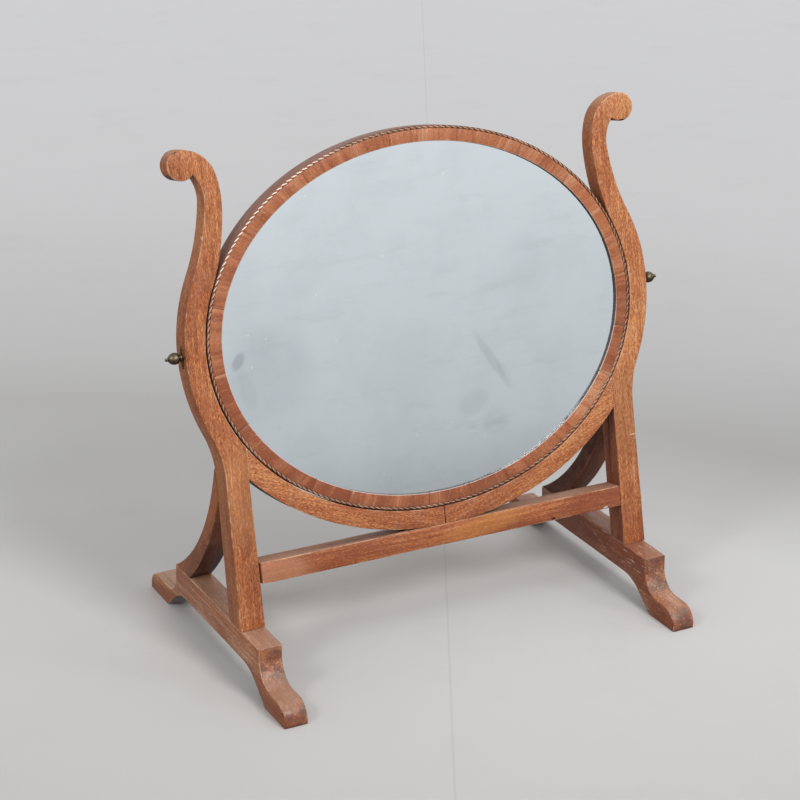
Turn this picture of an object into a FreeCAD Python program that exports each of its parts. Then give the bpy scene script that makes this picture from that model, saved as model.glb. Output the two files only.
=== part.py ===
import FreeCAD, Part
import math
import os

import Sketcher

# Swinging oval toilet mirror: two shaped feet, two lyre uprights with curved rear braces, a straight
# stretcher, a crescent rail under the glass, and an oval crossbanded frame hung on two thumb-screws.
# Millimetres. X runs across, -Y is the front, +Z is up; the origin is on the floor under the middle.

SIZES = {
    # stand
    "half_inside": (199.5, "middle of the stand to an upright's inner face"),
    "foot_width": (24.0, "foot and brace board, across"),
    "foot_length": (331.0, "toe to toe"),
    "foot_height": (56.0, "floor to the top of the foot"),
    "bar_under": (27.0, "floor to the underside of the foot between its pads"),
    "pad_length": (44.5, "flat of each pad on the floor"),
    "ramp_length": (50.0, "pad to the level underside"),
    "front_toe": (55.0, "front toe, tip to block"),
    "rear_toe": (71.0, "rear toe, tip to block"),
    "toe_top": (21.0, "height of a toe's back"),
    "nose_radius": (17.0, "rounding of a toe's tip"),
    "cove_radius": (23.0, "cove between a toe and the block"),
    "knee_run": (22.0, "straight of the underside's ramp, along"),
    "knee_rise": (17.3, "straight of the underside's ramp, up"),
    "setback": (94.0, "front toe to the foot of the upright"),
    "rake": (11.6, "lean of the uprights, degrees"),
    # upright, heights measured up its slope from the foot
    "base_out": (224.5, "outer edge at the foot"),
    "post_out": (222.4, "outer edge where the belly starts"),
    "post_top": (146.0, "top of the straight post"),
    "hip_out": (231.3, "outer edge at the hip"),
    "hip_up": (188.5, "height of the hip"),
    "belly_out": (248.5, "outermost reach of the belly"),
    "belly_up": (264.0, "height of the belly's middle"),
    "shoulder_out": (232.5, "outer edge at the shoulder"),
    "shoulder_up": (339.5, "height of the shoulder"),
    "stem_out": (214.2, "outer edge of the stem"),
    "stem_in": (197.0, "inner edge of the stem"),
    "stem_up": (405.0, "height of the stem's waist"),
    "crook_in": (200.6, "inner edge where the crook turns"),
    "crook_up": (432.0, "height where the crook turns"),
    "scroll_x": (232.5, "centre of the scroll, across"),
    "scroll_up": (441.5, "centre of the scroll, up"),
    "scroll_radius": (14.0, "radius of the scroll"),
    "notch_angle": (223.0, "where the stem meets the scroll, degrees"),
    "neck_up": (333.0, "height where the stem leaves the oval"),
    "post_depth": (26.0, "front to back, below the hip"),
    "scroll_depth": (18.3, "front to back, at the top"),
    "taper_start": (168.0, "height where the back starts to taper"),
    "tenon_width": (12.0, "tenon into the foot, across"),
    "tenon_depth": (16.0, "tenon into the foot, front to back"),
    "tenon_length": (18.0, "tenon into the foot, down"),
    # brace
    "brace_top": (203.0, "floor to the top of the brace"),
    "crotch": (172.0, "floor to the crotch of brace and post"),
    "brace_heel": (59.0, "middle of the foot to the brace's inner end"),
    "brace_back_radius": (228.0, "curve of the brace's back"),
    "brace_front_radius": (272.0, "curve of the brace's front"),
    # rails
    "rail_low": (41.7, "underside of the stretcher, up the slope"),
    "rail_high": (62.5, "top of the stretcher, up the slope"),
    "rail_depth": (24.0, "stretcher, front to back"),
    "rail_tenon": (15.0, "length of the stretcher's tenons"),
    "open_joint": (2.8, "gap at the stretcher's left shoulder"),
    "crescent_across": (248.0, "outer oval of the crescent, across"),
    "crescent_up": (203.4, "outer oval of the crescent, up"),
    "crescent_depth": (22.0, "crescent, front to back"),
    # swing frame, half axes
    "oval_centre": (265.0, "centre of the ovals, up the slope"),
    "saw_gap": (0.16, "joint between two pieces of crossbanding"),
    "clear_across": (228.2, "oval sawn in the stand"),
    "clear_up": (185.2, "oval sawn in the stand"),
    "frame_across": (227.0, "outside of the frame"),
    "frame_up": (184.0, "outside of the frame"),
    "sight_across": (212.0, "opening over the glass"),
    "sight_up": (169.2, "opening over the glass"),
    "frame_depth": (20.0, "front to back"),
    "veneer": (1.0, "crossbanding on the front"),
    "string_width": (2.6, "stringing let into the front arris"),
    "string_depth": (2.2, "stringing, front to back"),
    "lip": (3.0, "front of the frame to the glass"),
    "glass_rebate": (5.0, "rebate beyond the sight edge"),
    "glass_thick": (4.0, "mirror plate"),
    "board_rebate": (9.5, "second rebate beyond the sight edge"),
    "board_thick": (4.0, "backboard"),
    "play": (0.5, "play of glass and backboard in their rebates"),
    "block_length": (26.0, "glazing block, along the rebate"),
    "block_width": (8.0, "glazing block, from the rebate inwards"),
    "block_depth": (6.0, "glazing block, front to back"),
    # fixings
    "dowel_radius": (2.5, "every dowel"),
    "dowel_length": (20.0, "every dowel"),
    "screw_shank": (1.1, "wood-screw's radius"),
    "screw_head": (2.1, "wood-screw's head radius"),
    "screw_head_high": (1.2, "wood-screw's countersunk head, along"),
    "screw_length": (8.0, "wood-screw, point to head"),
    "pin_radius": (0.7, "escutcheon pin"),
    "pin_length": (7.0, "escutcheon pin under its head"),
    "pin_head": (1.2, "escutcheon pin's domed head, radius"),
    # movement
    "pivot_up": (267.0, "pivot, up the slope"),
    "pivot_back": (9.5, "pivot, behind the front face"),
    "screw_radius": (2.45, "thumb-screw's stem"),
    "bore_radius": (2.5, "bush and nut for the stem"),
    "bush_radius": (4.0, "outside of the bush"),
    "knob_radius": (5.5, "thumb-screw's acorn"),
    "knob_tip": (265.6, "middle of the stand to the knob's tip"),
    "screw_start": (220.5, "middle of the stand to the stem's inner end"),
    "screw_stop": (257.0, "middle of the stand to the stem's end in the knob"),
    "bush_start": (228.4, "middle of the stand to the bush's inner end"),
    "knob_start": (249.6, "middle of the stand to the knob's collar"),
    "collar_radius": (3.6, "knob's collar"),
    "washer_radius": (5.5, "friction washer"),
    "washer_face": (227.6, "middle of the stand to the washer's outer face"),
    "plate_height": (22.0, "escutcheon, tip to tip"),
    "plate_width": (11.0, "escutcheon, front to back"),
    "plate_seat": (247.6, "floor of the escutcheon's recess"),
    "plate_face": (249.2, "face of the escutcheon"),
    "nut_plate_height": (25.0, "nut plate"),
    "nut_plate_width": (13.0, "nut plate, front to back"),
    "nut_plate_seat": (224.6, "back of the nut plate"),
    "nut_plate_face": (226.5, "face of the nut plate"),
}


class Size:
    """A length together with the sheet formula that gives it."""

    def __init__(self, value, formula):
        self.value, self.formula = float(value), formula

    def _with(self, other, sign, value):
        return Size(value, f"({self.formula} {sign} {size(other).formula})")

    def __add__(self, other):
        return self._with(other, "+", self.value + size(other).value)

    def __sub__(self, other):
        return self._with(other, "-", self.value - size(other).value)

    def __mul__(self, other):
        return self._with(other, "*", self.value * size(other).value)

    def __truediv__(self, other):
        return self._with(other, "/", self.value / size(other).value)

    def __neg__(self):
        return size(0) - self


def size(x):
    return x if isinstance(x, Size) else Size(x, repr(float(x)))


def cos(angle):
    return Size(math.cos(math.radians(angle.value)), f"cos({angle.formula})")


def sin(angle):
    return Size(math.sin(math.radians(angle.value)), f"sin({angle.formula})")


def root(x):
    return Size(math.sqrt(x.value), f"sqrt({x.formula})")


def make_sheet(doc):
    sheet = doc.addObject("Spreadsheet::Sheet", "Dims")
    for row, (name, (value, note)) in enumerate(SIZES.items(), 1):
        sheet.set(f"A{row}", name)
        sheet.set(f"B{row}", str(value))
        sheet.set(f"C{row}", note)
        sheet.setAlias(f"B{row}", name)
    doc.recompute()
    return {name: Size(value, f"Dims.{name}") for name, (value, _) in SIZES.items()}


doc = FreeCAD.newDocument("toilet_mirror")
D = make_sheet(doc)
V = FreeCAD.Vector
RAKE = D["rake"]
FRONT = D["setback"] - D["foot_length"] / 2          # the upright's front edge on the foot
PARTS = []

# Turns that point a piece's own Z up the slope, back square to it, or across to the right.
UP = (V(-1, 0, 0), RAKE)
BACK = (V(-1, 0, 0), RAKE + 90)
ACROSS = (V(0, 1, 0), size(90))


def bind(obj, prop, value):
    obj.setExpression(prop, size(value).formula)


def slope_y(back, up):
    return FRONT + cos(RAKE) * back + sin(RAKE) * up


def slope_z(back, up):
    return D["foot_height"] + cos(RAKE) * up - sin(RAKE) * back


def place(obj, x=0, back=0, up=0, facing=UP):
    """Set a piece in the plane of the uprights: across, behind its front face, up its slope."""
    axis, angle = facing
    spot = (size(x), slope_y(size(back), size(up)), slope_z(size(back), size(up)))
    obj.Placement = FreeCAD.Placement(V(*(s.value for s in spot)), FreeCAD.Rotation(axis, angle.value))
    for prop, value in zip(("Base.x", "Base.y", "Base.z", "Rotation.Angle"), (*spot, angle)):
        bind(obj, "Placement." + prop, value)
    return obj


# --- sketches ---------------------------------------------------------------------------------------

def point(x, y):
    return V(x.value, y.value, 0)


def middle_of(a, b, radius, left):
    """Middle of the arc of a radius from a to b, which lies to the left or the right of the way."""
    (x0, y0), (x1, y1) = a, b
    half_x, half_y = (x1 - x0) / 2, (y1 - y0) / 2
    half = root(half_x * half_x + half_y * half_y)
    reach = root(radius * radius - half * half) * (1 if left else -1)
    return x0 + half_x - half_y / half * reach, y0 + half_y + half_x / half * reach


class Outline:
    """A closed profile of lines and arcs, every corner held by the sheet."""

    def __init__(self, body, plane, name, lift=0):
        self.sketch = body.newObject("Sketcher::SketchObject", name)
        support = next(f for f in body.Origin.OriginFeatures if f.Role == plane + "_Plane")
        self.sketch.AttachmentSupport = [(support, "")]
        self.sketch.MapMode = "FlatFace"
        bind(self.sketch, "AttachmentOffset.Base.z", lift)
        self.last = None

    def start(self, x, y):
        self.first = self.here = (size(x), size(y))
        return self

    def line(self, x, y):
        a, b = point(*self.here), point(size(x), size(y))
        self.heading = math.atan2(b.y - a.y, b.x - a.x)
        return self.add(Part.LineSegment(a, b), (1, 2), (size(x), size(y)))

    def arc(self, x, y):
        """An arc that leaves the line or arc before it without a corner."""
        a, b = point(*self.here), point(size(x), size(y))
        chord = b - a
        turn = math.remainder(math.atan2(chord.y, chord.x) - self.heading, math.tau)
        square = V(-math.sin(self.heading), math.cos(self.heading))
        centre = a + square * (chord.Length / 2 / math.sin(turn))
        self.heading += 2 * turn
        return self.curve(centre, a, b, turn > 0, (size(x), size(y)), "Tangent")

    def bow(self, x, y, radius, centre=None, left=True):
        """An arc of a stated radius, turning left or right."""
        target = (size(x), size(y))
        centre = point(*(centre or middle_of(self.here, target, size(radius), left)))
        a, b = point(*self.here), point(*target)
        self.heading = math.atan2(b.y - centre.y, b.x - centre.x) + math.pi / (2 if left else -2)
        self.curve(centre, a, b, left, target)
        self.hold(Sketcher.Constraint("Radius", self.last[0], size(radius).value), radius)
        return self

    def close(self):
        if self.here != self.first:
            self.line(*self.first)
        return self.sketch

    def circle(self, x, y, radius):
        x, y, radius = size(x), size(y), size(radius)
        geo = self.sketch.addGeometry(Part.Circle(point(x, y), V(0, 0, 1), radius.value))
        self.pin(geo, 3, (x, y))
        self.hold(Sketcher.Constraint("Radius", geo, radius.value), radius)
        return self.sketch

    def curve(self, centre, a, b, left, target, joint="Coincident"):
        """Add an arc; a sketch's arcs always run to the left, so one to the right is drawn backwards."""
        low, high = (math.atan2(p.y - centre.y, p.x - centre.x) for p in ((a, b) if left else (b, a)))
        circle = Part.Circle(centre, V(0, 0, 1), (a - centre).Length)
        arc = Part.ArcOfCircle(circle, low, high if high > low else high + math.tau)
        return self.add(arc, (1, 2) if left else (2, 1), target, joint)

    def add(self, geometry, ends, target, joint="Coincident"):
        geo = self.sketch.addGeometry(geometry)
        if self.last:
            self.sketch.addConstraint(Sketcher.Constraint(joint, *self.last, geo, ends[0]))
        else:
            self.opening = (geo, ends[0])
            self.pin(*self.opening, self.here)
        if target[0].formula == self.first[0].formula and target[1].formula == self.first[1].formula:
            self.sketch.addConstraint(Sketcher.Constraint("Coincident", geo, ends[1], *self.opening))
            target = self.first
        else:
            self.pin(geo, ends[1], target)
        self.last, self.here = (geo, ends[1]), target
        return self

    def pin(self, geo, end, at):
        for kind, value, axis in (("DistanceX", at[0], -2), ("DistanceY", at[1], -1)):
            if abs(value.value) < 1e-9:
                self.sketch.addConstraint(Sketcher.Constraint("PointOnObject", geo, end, axis))
            else:
                self.hold(Sketcher.Constraint(kind, -1, 1, geo, end, value.value), value)

    def hold(self, constraint, value):
        index = self.sketch.addConstraint(constraint)
        bind(self.sketch, f"Constraints[{index}]", value)


def rectangle(body, plane, name, x0, y0, x1, y1, lift=0):
    return Outline(body, plane, name, lift).start(x0, y0).line(x1, y0).line(x1, y1).line(x0, y1).close()


# --- features ---------------------------------------------------------------------------------------

def new_body(name):
    return doc.addObject("PartDesign::Body", name)


def pad(body, sketch, length, reverse=False):
    feature = body.newObject("PartDesign::Pad", sketch.Name + "_pad")
    feature.Profile, feature.Reversed = sketch, reverse
    bind(feature, "Length", length)
    return feature


def pocket(body, sketch, length=None):
    """Cut along the sketch's normal, to a depth or through everything."""
    doc.recompute()
    before = body.Shape.Volume
    feature = body.newObject("PartDesign::Pocket", sketch.Name + "_pocket")
    feature.Profile, feature.Reversed = sketch, True
    if length is None:
        feature.Type = "ThroughAll"
    else:
        bind(feature, "Length", length)
    doc.recompute()
    if body.Shape.Volume > before - 1e-6:
        raise RuntimeError(f"{feature.Name} removes nothing")
    return feature


def turned(body, sketch, axis):
    feature = body.newObject("PartDesign::Revolution", sketch.Name + "_turned")
    feature.Profile, feature.ReferenceAxis = sketch, (sketch, [axis])
    return body


def oval(name, across, up, front, back):
    """A block of oval section in the leaning plane, between two depths."""
    curve = doc.addObject("Part::Ellipse", name + "_curve")
    bind(curve, "MajorRadius", across)
    bind(curve, "MinorRadius", up)
    place(curve, 0, front, D["oval_centre"], BACK)
    solid = doc.addObject("Part::Extrusion", name)
    solid.Base, solid.DirMode, solid.Solid = curve, "Normal", True
    bind(solid, "LengthFwd", size(back) - front)
    return solid


def oval_grown(name, grow, front, back, base="sight"):
    """An oval block a stated width outside the sight edge, or another named oval."""
    return oval(name, D[base + "_across"] + grow, D[base + "_up"] + grow, front, back)


def rod(name, radius, length, x, back, up, facing):
    bar = doc.addObject("Part::Cylinder", name)
    bind(bar, "Radius", radius)
    bind(bar, "Height", length)
    return place(bar, x, back, up, facing)


def block(name, x, back, up, across, deep, high):
    box = doc.addObject("Part::Box", name)
    for prop, value in (("Length", across), ("Width", deep), ("Height", high)):
        bind(box, prop, value)
    return place(box, x, back, up)


def group(kind, name, prop, objects):
    made = doc.addObject(kind, name)
    setattr(made, prop, list(objects))
    return made


def compound(name, *objects):
    return group("Part::Compound", name, "Links", objects)


def cut(name, base, *tools):
    piece = doc.addObject("Part::Cut", name)
    piece.Base = base
    piece.Tool = tools[0] if len(tools) == 1 else group("Part::MultiFuse", name + "_tools", "Shapes", tools)
    return piece


def common(name, base, tool):
    piece = doc.addObject("Part::Common", name)
    piece.Base, piece.Tool = base, tool
    return piece


def mirrored(source):
    twin = doc.addObject("Part::Mirroring", source.Name + "_twin")
    twin.Source, twin.Normal = source, V(1, 0, 0)
    return twin


def both(name, *objects):
    return compound(name, *objects, *(mirrored(o) for o in objects))


def finish(obj, label):
    obj.Label = label
    PARTS.append(obj)
    return obj


def finish_pair(obj, label):
    finish(obj, label + "_right")
    finish(mirrored(obj), label + "_left")
    return obj


# --- stand ------------------------------------------------------------------------------------------

BOARD_MIDDLE = D["half_inside"] + D["foot_width"] / 2
TENON_FRONT = (D["post_depth"] - D["tenon_depth"]) / 2
PIVOT = (D["pivot_back"], D["pivot_up"])


def make_foot(dowels):
    body = new_body("foot_body")
    tip, heel = -D["foot_length"] / 2, D["foot_length"] / 2
    nose, cove, back = D["nose_radius"], D["cove_radius"], D["toe_top"]
    block_front, block_rear = tip + D["front_toe"], heel - D["rear_toe"]
    pad_front, pad_rear = tip + D["pad_length"], heel - D["pad_length"]
    p = Outline(body, "YZ", "foot_profile", D["half_inside"])
    p.start(tip, 0).line(tip, back - nose).arc(tip + nose, back)
    p.line(block_front - cove, back).arc(block_front, back + cove)
    p.line(block_front, D["foot_height"]).line(block_rear, D["foot_height"])
    p.line(block_rear, back + cove).arc(block_rear + cove, back)
    p.line(heel - nose, back).arc(heel, back - nose).line(heel, 0).line(pad_rear, 0)
    p.line(pad_rear - D["knee_run"], D["knee_rise"]).arc(pad_rear - D["ramp_length"], D["bar_under"])
    p.line(pad_front + D["ramp_length"], D["bar_under"]).arc(pad_front + D["knee_run"], D["knee_rise"])
    pad(body, p.line(pad_front, 0).close(), D["foot_width"])

    near, far = TENON_FRONT, TENON_FRONT + D["tenon_depth"]
    low, high = -D["tenon_length"], size(8)
    mortise = Outline(body, "YZ", "foot_mortise", BOARD_MIDDLE - D["tenon_width"] / 2)
    mortise.start(slope_y(near, low), slope_z(near, low)).line(slope_y(far, low), slope_z(far, low))
    mortise.line(slope_y(far, high), slope_z(far, high)).line(slope_y(near, high), slope_z(near, high))
    pocket(body, mortise.close(), D["tenon_width"])
    finish_pair(cut("foot_drilled", body, dowels), "foot")


def draw_lyre(body):
    """An upright's face: straight post, belly round the oval, and a stem that crooks into a scroll."""
    middle, r = (D["scroll_x"], D["scroll_up"]), D["scroll_radius"]
    rise = (D["neck_up"] - D["oval_centre"]) / D["clear_up"]
    neck = D["clear_across"] * root(size(1) - rise * rise)
    face = Outline(body, "XZ", "lyre")
    face.start(D["half_inside"], 0).line(D["base_out"], 0).line(D["post_out"], D["post_top"])
    face.arc(D["hip_out"], D["hip_up"]).arc(D["belly_out"], D["belly_up"])
    face.arc(D["shoulder_out"], D["shoulder_up"]).arc(D["stem_out"], D["stem_up"])
    face.arc(middle[0] + cos(D["notch_angle"]) * r, middle[1] + sin(D["notch_angle"]) * r)
    face.bow(middle[0], middle[1] + r, r, middle)
    face.arc(D["crook_in"], D["crook_up"]).arc(D["stem_in"], D["stem_up"])
    face.arc(neck, D["neck_up"]).line(D["half_inside"], D["neck_up"])
    return face.close()


def draw_lozenge(body, name):
    """An escutcheon's outline: four hollow sides between four points."""
    (back, up), high, wide = PIVOT, D["plate_height"] / 2, D["plate_width"] / 2
    tips = [(back + wide, up), (back, up + high), (back - wide, up), (back, up - high)]
    shape = Outline(body, "YZ", name, D["plate_seat"]).start(*tips[0])
    for tip in tips[1:] + tips[:1]:
        shape.bow(*tip, D["plate_height"], left=False)
    return shape.close()


def make_upright(fittings):
    body = new_body("upright_body")
    pad(body, draw_lyre(body), D["post_depth"], reverse=True)

    seat = Outline(body, "YZ", "seat_on_foot").start(0, 0).line(D["post_depth"], 0)
    pocket(body, seat.line(D["post_depth"], D["post_depth"] * sin(RAKE) / cos(RAKE)).close())

    top, behind = D["scroll_up"] + D["scroll_radius"] + 1, D["post_depth"] + 2
    taper = Outline(body, "YZ", "taper").start(D["post_depth"], D["taper_start"])
    taper.line(behind, D["taper_start"]).line(behind, top).line(D["scroll_depth"], top)
    pocket(body, taper.close())

    cheek = BOARD_MIDDLE - D["tenon_width"] / 2
    tenon = rectangle(body, "XZ", "foot_tenon", cheek, -D["tenon_length"],
                      cheek + D["tenon_width"], 8, lift=-TENON_FRONT)
    pad(body, tenon, D["tenon_depth"], reverse=True)
    pocket(body, Outline(body, "YZ", "bush_bore").circle(*PIVOT, D["bush_radius"]))
    pocket(body, draw_lozenge(body, "escutcheon_recess"))
    sawn = oval_grown("sawn_oval", 0, -5, 40, "clear")
    finish_pair(cut("upright_sawn", place(body), sawn, *fittings), "upright")


def make_brace(dowels):
    """A bracket, hollow behind, spreading from the back of the post to the foot's rear shoulder."""
    body = new_body("brace_body")
    foot_top = D["foot_height"]

    def on_post(height):
        lean = (height - foot_top) * sin(RAKE) / cos(RAKE)
        return FRONT + D["post_depth"] / cos(RAKE) + lean, height

    p = Outline(body, "YZ", "brace_profile", D["half_inside"])
    p.start(*on_post(D["brace_top"])).line(*on_post(D["crotch"]))
    p.bow(D["brace_heel"], foot_top, D["brace_front_radius"])
    p.line(D["foot_length"] / 2 - D["rear_toe"], foot_top)
    p.bow(*on_post(D["brace_top"]), D["brace_back_radius"], left=False)
    pad(body, p.close(), D["foot_width"])
    finish_pair(cut("brace_drilled", body, dowels), "brace")


def make_stretcher(dowels):
    """Rail with stub tenons; its left shoulder has opened towards the front."""
    body = new_body("stretcher_body")
    end, low, high = D["half_inside"], D["rail_low"], D["rail_high"]
    pad(body, rectangle(body, "XZ", "rail", -end, low, end, high), D["rail_depth"], reverse=True)
    gap = Outline(body, "XY", "open_shoulder").start(-end, 0).line(D["open_joint"] - end, 0)
    pocket(body, gap.line(-end, D["rail_depth"]).close())
    far, shoulder, cheek = end + D["rail_tenon"], size(4), D["rail_depth"] / 3
    tenons = rectangle(body, "XZ", "rail_tenons", -far, low + shoulder, far, high - shoulder, lift=-cheek)
    pad(body, tenons, cheek, reverse=True)
    finish(cut("stretcher_drilled", place(body), dowels), "stretcher")
    return body


def make_crescents(dowels):
    """Two curved rails that follow the glass, sitting on the stretcher and butting between the uprights."""
    depth = D["crescent_depth"]
    ring = cut("crescent_ring", oval_grown("crescent_out", 0, 0, depth, "crescent"),
               oval_grown("crescent_in", 0, -5, depth + 5, "clear"))
    reach = block("crescent_reach", 0, 0, D["rail_high"], D["half_inside"], depth, 150)
    finish_pair(cut("crescent_drilled", common("crescent_rail", ring, reach), dowels), "crescent")


def make_dowels():
    r, long = D["dowel_radius"], D["dowel_length"]
    middle = D["crescent_depth"] / 2
    rails = both("rail_dowels_all",
                 rod("end_dowel", r, long, D["half_inside"] - long / 2, middle, 153, ACROSS),
                 rod("seat_dowel", r, long, 12, middle, D["rail_high"] - long * 0.55, UP))
    foot = rod("heel_dowel", r, long, BOARD_MIDDLE, 0, 0, UP)
    foot.setExpression("Placement.Rotation.Angle", "0")
    bind(foot, "Placement.Base.y", D["brace_heel"] + 11)
    bind(foot, "Placement.Base.z", D["foot_height"] - long / 2)
    braces = both("brace_dowels_all", foot, rod("post_dowel", r, long, BOARD_MIDDLE, 14, 131, BACK))
    return finish(rails, "rail_dowels"), finish(braces, "brace_dowels")


# --- movement ---------------------------------------------------------------------------------------

def tube(name, outer, start, stop):
    """Collar round the thumb-screw's stem."""
    wall = rod(name + "_wall", outer, size(stop) - start, start, *PIVOT, ACROSS)
    bore = rod(name + "_bore", D["bore_radius"], size(stop) - start + 2, size(start) - 1, *PIVOT, ACROSS)
    return cut(name, wall, bore)


def make_pins():
    """Domed pins, one above and one below each pivot."""
    pins = []
    for name, offset in (("upper", 8), ("lower", -8)):
        up = D["pivot_up"] + offset
        start = D["plate_face"] - D["pin_length"]
        shank = rod(name + "_shank", D["pin_radius"], D["pin_length"], start, D["pivot_back"], up, ACROSS)
        dome = doc.addObject("Part::Sphere", name + "_dome")
        bind(dome, "Radius", D["pin_head"])
        dome.Angle1 = 30
        place(dome, D["plate_face"] - D["pin_head"] / 2, D["pivot_back"], up, ACROSS)
        pins.append(group("Part::MultiFuse", name + "_pin", "Shapes", [shank, dome]))
    return finish(both("pins_all", *pins), "escutcheon_pins")


def make_escutcheon(pins):
    body = new_body("escutcheon_body")
    pad(body, draw_lozenge(body, "escutcheon_face"), D["plate_face"] - D["plate_seat"])
    bore = rod("escutcheon_bore", D["bore_radius"], 40, 230, *PIVOT, ACROSS)
    finish_pair(cut("escutcheon_pierced", place(body), bore, pins), "escutcheon")


def make_knob():
    """Turned thumb-screw head: collar, neck, acorn and ball, bored for its stem."""
    body = new_body("knob_body")
    start, tip, full, collar = D["knob_start"], D["knob_tip"], D["knob_radius"], D["collar_radius"]
    ball = size(1.7)
    p = Outline(body, "XZ", "knob_profile")
    p.start(start, D["screw_radius"]).line(start, collar).line(start + 1.4, collar)
    p.line(start + 1.9, collar - 0.8).line(start + 2.4, collar - 0.8).line(start + 2.7, collar + 0.2)
    p.bow(start + 5.4, full, 4.2, left=False).arc(tip - 2.9, 1.2)
    p.bow(tip, 0, ball, (tip - ball, size(0)), left=False)
    p.line(D["screw_stop"], 0).line(D["screw_stop"], D["screw_radius"])
    turned(body, p.close(), "H_Axis")
    finish_pair(place(body, 0, *PIVOT), "knob")
    stem = rod("stem", D["screw_radius"], D["screw_stop"] - D["screw_start"], D["screw_start"], *PIVOT, ACROSS)
    finish_pair(stem, "pivot_screw")


def make_wood_screw():
    """Countersunk screw, point down at its own origin."""
    body = new_body("wood_screw")
    shank, head, long = D["screw_shank"], D["screw_head"], D["screw_length"]
    p = Outline(body, "XZ", "screw_profile").start(0, 0).line(shank, 1.6)
    p.line(shank, long - D["screw_head_high"]).line(head, long).line(0, long)
    return turned(body, p.close(), "V_Axis")


def make_nut_plates(screw):
    """Threaded plates let into the frame's edge; the recess that takes one is handed back."""
    seat, high, wide = D["nut_plate_seat"], D["nut_plate_height"], D["nut_plate_width"]
    back, up = PIVOT
    screws = both("nut_screws_all", *(
        place(compound(f"nut_screw_{n}", screw), D["nut_plate_face"] - D["screw_length"], back, up + side * 9, ACROSS)
        for n, side in enumerate((1, -1))))
    boss = rod("nut_boss", D["bush_radius"], 6, seat - 5.6, *PIVOT, ACROSS)
    plate = block("nut_plate_block", seat, back - wide / 2, up - high / 2, D["nut_plate_face"] - seat, wide, high)
    bossed = group("Part::MultiFuse", "nut_plate_bossed", "Shapes", [plate, boss])
    bore = rod("nut_bore", D["bore_radius"], 20, seat - 10, *PIVOT, ACROSS)
    finish_pair(cut("nut_plate_bored", bossed, bore, screws), "nut_plate")
    recess = block("nut_plate_recess", seat, back - wide / 2, up - high / 2, 8, wide, high)
    return finish(screws, "nut_plate_screws"), both("nut_recesses", recess, boss)


# --- swing frame ------------------------------------------------------------------------------------

def spoke(name, angle, thick, front, back):
    """A flat bar square across the frame at an angle round the oval, in the oval's own plane."""
    grow = 7
    across, up = D["sight_across"] + grow, D["sight_up"] + grow
    t = math.radians(angle)
    heading = math.atan2(across.value * math.sin(t), up.value * math.cos(t))
    c, s = math.cos(heading), math.sin(heading)
    reach, half = size(14), size(thick) / 2
    bar = doc.addObject("Part::Box", name)
    for prop, value in (("Length", reach * 2), ("Width", size(back) - front), ("Height", thick)):
        bind(bar, prop, value)
    bar.Placement = FreeCAD.Placement(V(0, 0, 0), FreeCAD.Rotation(V(0, -1, 0), math.degrees(heading)))
    bind(bar, "Placement.Base.x", across * math.cos(t) - reach * c + half * s)
    bind(bar, "Placement.Base.y", front)
    bind(bar, "Placement.Base.z", D["oval_centre"] + up * math.sin(t) - reach * s - half * c)
    return bar


def spokes(name, angles, thick, front, back):
    bars = [spoke(f"{name}_{n}", angle, thick, front, back) for n, angle in enumerate(angles)]
    return place(compound(name, *bars))


def make_frame(recesses, screws, board_screws):
    lip, depth, string = D["lip"], D["frame_depth"], D["string_width"]
    board_front = depth - D["board_thick"]
    edge = cut("string_rebate", oval_grown("past_edge", 4, -1, D["string_depth"], "frame"),
               oval_grown("inside_string", -string, -2, D["string_depth"] + 1, "frame"))
    core = cut("frame_core", oval_grown("frame_block", 0, D["veneer"], depth, "frame"),
               oval_grown("sight_hole", 0, 0, lip + 1),
               oval_grown("glass_seat", D["glass_rebate"], lip, board_front + 1),
               oval_grown("board_seat", D["board_rebate"], board_front, depth + 1),
               edge, recesses, screws, board_screws)
    finish(core, "mirror_frame")

    band = oval_grown("band", -string, 0, D["veneer"], "frame")
    joints = (4, 17, 41, 58, 77, 96, 121, 143, 166, 186, 204, 232, 243, 266, 278, 289, 300, 311, 331, 347)
    finish(cut("crossbanding", band, oval_grown("band_hole", 0, -1, 3),
               spokes("band_joints", joints, D["saw_gap"], -1, 3)), "crossband_veneer")
    finish(cut("string_ring", oval_grown("string_block", 0, 0, D["string_depth"], "frame"),
               oval_grown("string_hole", -string, -1, 4, "frame")), "edge_stringing")


def make_glass():
    behind = D["lip"] + D["glass_thick"]
    fit = D["glass_rebate"] - D["play"]
    finish(oval_grown("glass_plate", fit, D["lip"], behind), "mirror_glass")
    ring = cut("block_ring", oval_grown("block_out", D["glass_rebate"], behind, behind + D["block_depth"]),
               oval_grown("block_in", D["glass_rebate"] - D["block_width"], 0, 30))
    bars = spokes("block_bars", range(18, 378, 36), D["block_length"], 0, 30)
    finish(common("blocks", ring, bars), "glazing_blocks")


def make_backboard(screw):
    depth, ledge = D["frame_depth"], (D["glass_rebate"] + D["board_rebate"]) / 2
    placed = []
    for n in range(8):
        t = math.radians(22.5 + 45 * n)
        x = (D["sight_across"] + ledge) * math.cos(t)
        up = D["oval_centre"] + (D["sight_up"] + ledge) * math.sin(t)
        placed.append(place(compound(f"board_screw_{n}", screw), x, depth - D["screw_length"], up, BACK))
    screws = finish(compound("board_screws_all", *placed), "backboard_screws")
    board = oval_grown("board", D["board_rebate"] - D["play"], depth - D["board_thick"], depth)
    finish(cut("board_drilled", board, screws), "backboard")
    return screws


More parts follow.
